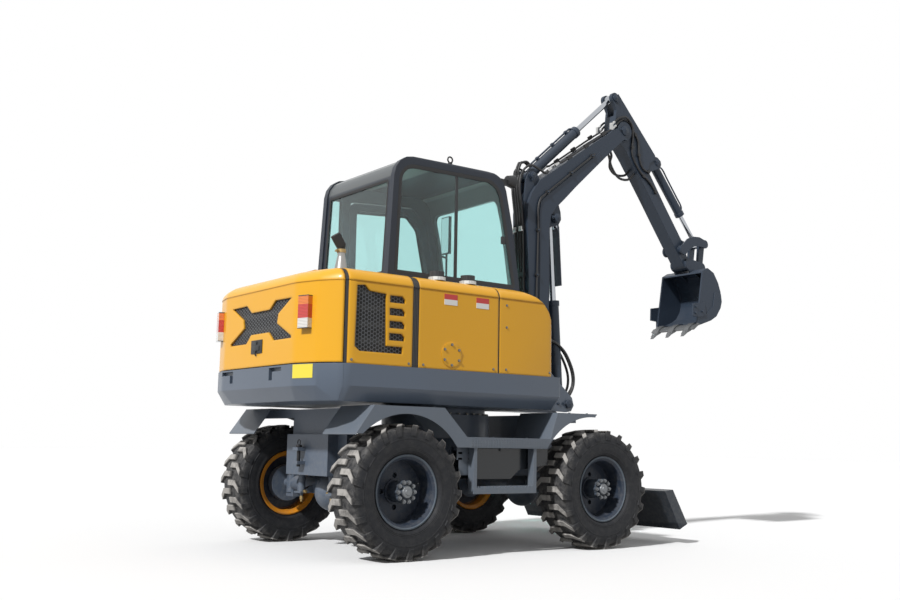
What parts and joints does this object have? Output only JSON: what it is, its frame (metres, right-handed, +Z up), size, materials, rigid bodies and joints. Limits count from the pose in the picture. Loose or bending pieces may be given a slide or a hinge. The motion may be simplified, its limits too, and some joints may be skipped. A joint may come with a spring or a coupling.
{
  "type": "wheeled excavator",
  "caption": "Small wheeled excavator with a slewing upper, a cab beside the boom, a front dozer blade, rear-wheel steering and a raised digging arm with a toothed bucket.",
  "frame": {"origin": "on the ground under the slew axis, half way between the axles", "axes": "+X forward to the blade and boom, +Y to the left (cab side), +Z up"},
  "size_m": [4.4417, 1.87, 3.7397],
  "materials": {
    "machine_grey": "worn satin paint, scratched and dusty",
    "hood_yellow": "worn semi-gloss paint with dirt",
    "cab_grey": "worn satin paint",
    "tyre_rubber": "worn, dusty",
    "rod_chrome": "hard chrome",
    "glass": "greenish clear safety glass",
    "hose_rubber": "matte hose",
    "seat_vinyl": "worn seat cloth",
    "black_plastic": "matte",
    "lamp_lens": "glossy lens",
    "engine_iron": "rough",
    "exhaust_steel": "dull with soot"
  },
  "bodies": {
    "chassis": {"chassis_frame": "machine_grey", "fenders": "machine_grey", "steps": "machine_grey", "front_axle": "machine_grey", "rear_axle": "machine_grey"},
    "steering_rod": {"steering_rod": "rod_chrome"},
    "knuckle_right": {"knuckle_right": "machine_grey"},
    "knuckle_left": {"knuckle_left": "machine_grey"},
    "wheel_front_right": {"tyre_front_right": "tyre_rubber", "rim_front_right": "machine_grey"},
    "wheel_front_left": {"tyre_front_left": "tyre_rubber", "rim_front_left": "machine_grey"},
    "wheel_rear_right": {"tyre_rear_right": "tyre_rubber", "rim_rear_right": "machine_grey"},
    "wheel_rear_left": {"tyre_rear_left": "tyre_rubber", "rim_rear_left": "machine_grey"},
    "blade": {"blade": "machine_grey"},
    "blade_barrel": {"blade_barrel": "machine_grey"},
    "blade_rod": {"blade_rod": "rod_chrome"},
    "upper": {"upper_frame": "machine_grey", "counterweight": "machine_grey", "engine": "engine_iron", "side_panels": "hood_yellow", "hood_top": "hood_yellow", "seals": "hose_rubber", "side_grille": "black_plastic", "filler_caps": "exhaust_steel", "exhaust": "exhaust_steel", "cab_floor": "cab_grey", "cab_ends": "cab_grey", "cab_sides": "cab_grey", "cab_roof": "cab_grey", "cab_glass": "glass", "seat_base": "black_plastic", "seat_cushions": "seat_vinyl", "controls": "black_plastic", "mirrors": "black_plastic", "work_lamps": "lamp_lens"},
    "rear_lid": {"rear_lid": "hood_yellow", "lid_grille": "black_plastic", "tail_lamps": "lamp_lens"},
    "cab_door": {"cab_door": "cab_grey", "door_glass": "glass"},
    "boom": {"boom": "machine_grey", "boom_lines": "hose_rubber"},
    "boom_barrel": {"boom_barrel": "machine_grey"},
    "boom_rod": {"boom_rod": "rod_chrome"},
    "stick": {"stick": "machine_grey", "stick_lines": "hose_rubber"},
    "arm_barrel": {"arm_barrel": "machine_grey"},
    "arm_rod": {"arm_rod": "rod_chrome"},
    "bucket_barrel": {"bucket_barrel": "machine_grey"},
    "bucket_rod": {"bucket_rod": "rod_chrome"},
    "bell_crank": {"bell_crank": "machine_grey"},
    "bucket_link": {"bucket_link": "machine_grey"},
    "bucket": {"bucket": "machine_grey"}
  },
  "joints": [
    {"name": "slew", "type": "hinge", "parent": "chassis", "child": "upper", "pos_m": [0, 0, 0.957], "axis": [0, 0, 1], "continuous": true},
    {"name": "wheel_front_right_spin", "type": "hinge", "parent": "chassis", "child": "wheel_front_right", "pos_m": [0.84, -0.75, 0.4155], "axis": [0, 1, 0], "continuous": true},
    {"name": "wheel_front_left_spin", "type": "hinge", "parent": "chassis", "child": "wheel_front_left", "pos_m": [0.84, 0.75, 0.4155], "axis": [0, 1, 0], "continuous": true},
    {"name": "wheel_rear_right_spin", "type": "hinge", "parent": "knuckle_right", "child": "wheel_rear_right", "pos_m": [-0.84, -0.75, 0.4155], "axis": [0, 1, 0], "continuous": true},
    {"name": "wheel_rear_left_spin", "type": "hinge", "parent": "knuckle_left", "child": "wheel_rear_left", "pos_m": [-0.84, 0.75, 0.4155], "axis": [0, 1, 0], "continuous": true},
    {"name": "steer_right", "type": "hinge", "parent": "chassis", "child": "knuckle_right", "pos_m": [-0.84, -0.58, 0.4155], "axis": [0, 0, 1], "range_deg": [-28, 28]},
    {"name": "steer_left", "type": "hinge", "parent": "chassis", "child": "knuckle_left", "pos_m": [-0.84, 0.58, 0.4155], "axis": [0, 0, 1], "range_deg": [-28.5, 28.5]},
    {"name": "steering_rod_slide", "type": "slide", "parent": "chassis", "child": "steering_rod", "axis": [0, 1, 0], "range_m": [-0.075, 0.075]},
    {"name": "blade_lift", "type": "hinge", "parent": "chassis", "child": "blade", "pos_m": [1.01, 0, 0.56], "axis": [0, -1, 0], "range_deg": [-20, 20]},
    {"name": "blade_barrel_turn", "type": "hinge", "parent": "chassis", "child": "blade_barrel", "pos_m": [1.1, 0, 0.68], "axis": [0, -1, 0], "range_deg": [-20.9, 20.9]},
    {"name": "blade_rod_slide", "type": "slide", "parent": "blade_barrel", "child": "blade_rod", "axis": [0.839, 0, -0.5442], "range_m": [-0.05227, 0.05227]},
    {"name": "rear_lid_open", "type": "hinge", "parent": "upper", "child": "rear_lid", "pos_m": [-1.281, 0, 1.779], "axis": [0, 1, 0], "range_deg": [0, 70]},
    {"name": "cab_door_open", "type": "hinge", "parent": "upper", "child": "cab_door", "pos_m": [-0.303, 0.858, 1.625], "axis": [0, 0, 1], "range_deg": [0, 150]},
    {"name": "boom_lift", "type": "hinge", "parent": "upper", "child": "boom", "pos_m": [0.93, 0, 1.3], "axis": [0, -1, 0], "range_deg": [-82, 8]},
    {"name": "boom_barrel_turn", "type": "hinge", "parent": "upper", "child": "boom_barrel", "pos_m": [1.205, 0, 1.04], "axis": [0, -1, 0], "range_deg": [-77.17, 7.98]},
    {"name": "boom_rod_slide", "type": "slide", "parent": "boom_barrel", "child": "boom_rod", "axis": [-0.0636, 0, 0.998], "range_m": [-0.49146, 0.04975]},
    {"name": "stick_swing", "type": "hinge", "parent": "boom", "child": "stick", "pos_m": [1.903, 0, 3.413], "axis": [0, 1, 0], "range_deg": [-70, 27]},
    {"name": "arm_barrel_turn", "type": "hinge", "parent": "boom", "child": "arm_barrel", "pos_m": [0.862, 0, 2.845], "axis": [0, -1, 0], "range_deg": [-0.77, 1.2]},
    {"name": "arm_rod_slide", "type": "slide", "parent": "arm_barrel", "child": "arm_rod", "axis": [0.7456, 0, 0.6664], "range_m": [-0.32124, 0.12513]},
    {"name": "bucket_curl", "type": "hinge", "parent": "stick", "child": "bucket", "pos_m": [2.721, 0, 2.344], "axis": [0, -1, 0], "range_deg": [-96, 60]},
    {"name": "bell_crank_turn", "type": "hinge", "parent": "stick", "child": "bell_crank", "pos_m": [2.631, 0, 2.464], "axis": [0, -1, 0], "range_deg": [-54.64, 34.34]},
    {"name": "bucket_link_turn", "type": "hinge", "parent": "bell_crank", "child": "bucket_link", "pos_m": [2.919, 0, 2.547], "axis": [0, -1, 0], "range_deg": [-11.54, 18.16]},
    {"name": "bucket_barrel_turn", "type": "hinge", "parent": "stick", "child": "bucket_barrel", "pos_m": [2.345, 0, 3.215], "axis": [0, -1, 0], "range_deg": [-9.62, 6.2]},
    {"name": "bucket_rod_slide", "type": "slide", "parent": "bucket_barrel", "child": "bucket_rod", "axis": [0.6517, 0, -0.7585], "range_m": [-0.14306, 0.22769]}
  ],
  "couplings": [
    {"joint": "steer_left", "follows": "steer_right", "ratio": 1},
    {"joint": "steering_rod_slide", "follows": "steer_right", "m_per_rad": 0.148},
    {"joint": "blade_barrel_turn", "follows": "blade_lift", "ratio": 1.02},
    {"joint": "blade_rod_slide", "follows": "blade_lift", "m_per_rad": -0.144},
    {"joint": "boom_barrel_turn", "follows": "boom_lift", "ratio": 0.935},
    {"joint": "boom_rod_slide", "follows": "boom_lift", "m_per_rad": 0.342},
    {"joint": "arm_barrel_turn", "follows": "stick_swing", "ratio": -0.01},
    {"joint": "arm_rod_slide", "follows": "stick_swing", "m_per_rad": 0.2613},
    {"joint": "bell_crank_turn", "follows": "bucket_curl", "ratio": 0.564},
    {"joint": "bucket_link_turn", "follows": "bucket_curl", "ratio": -0.184},
    {"joint": "bucket_barrel_turn", "follows": "bucket_curl", "ratio": 0.095},
    {"joint": "bucket_rod_slide", "follows": "bucket_curl", "m_per_rad": -0.1347}
  ]
}
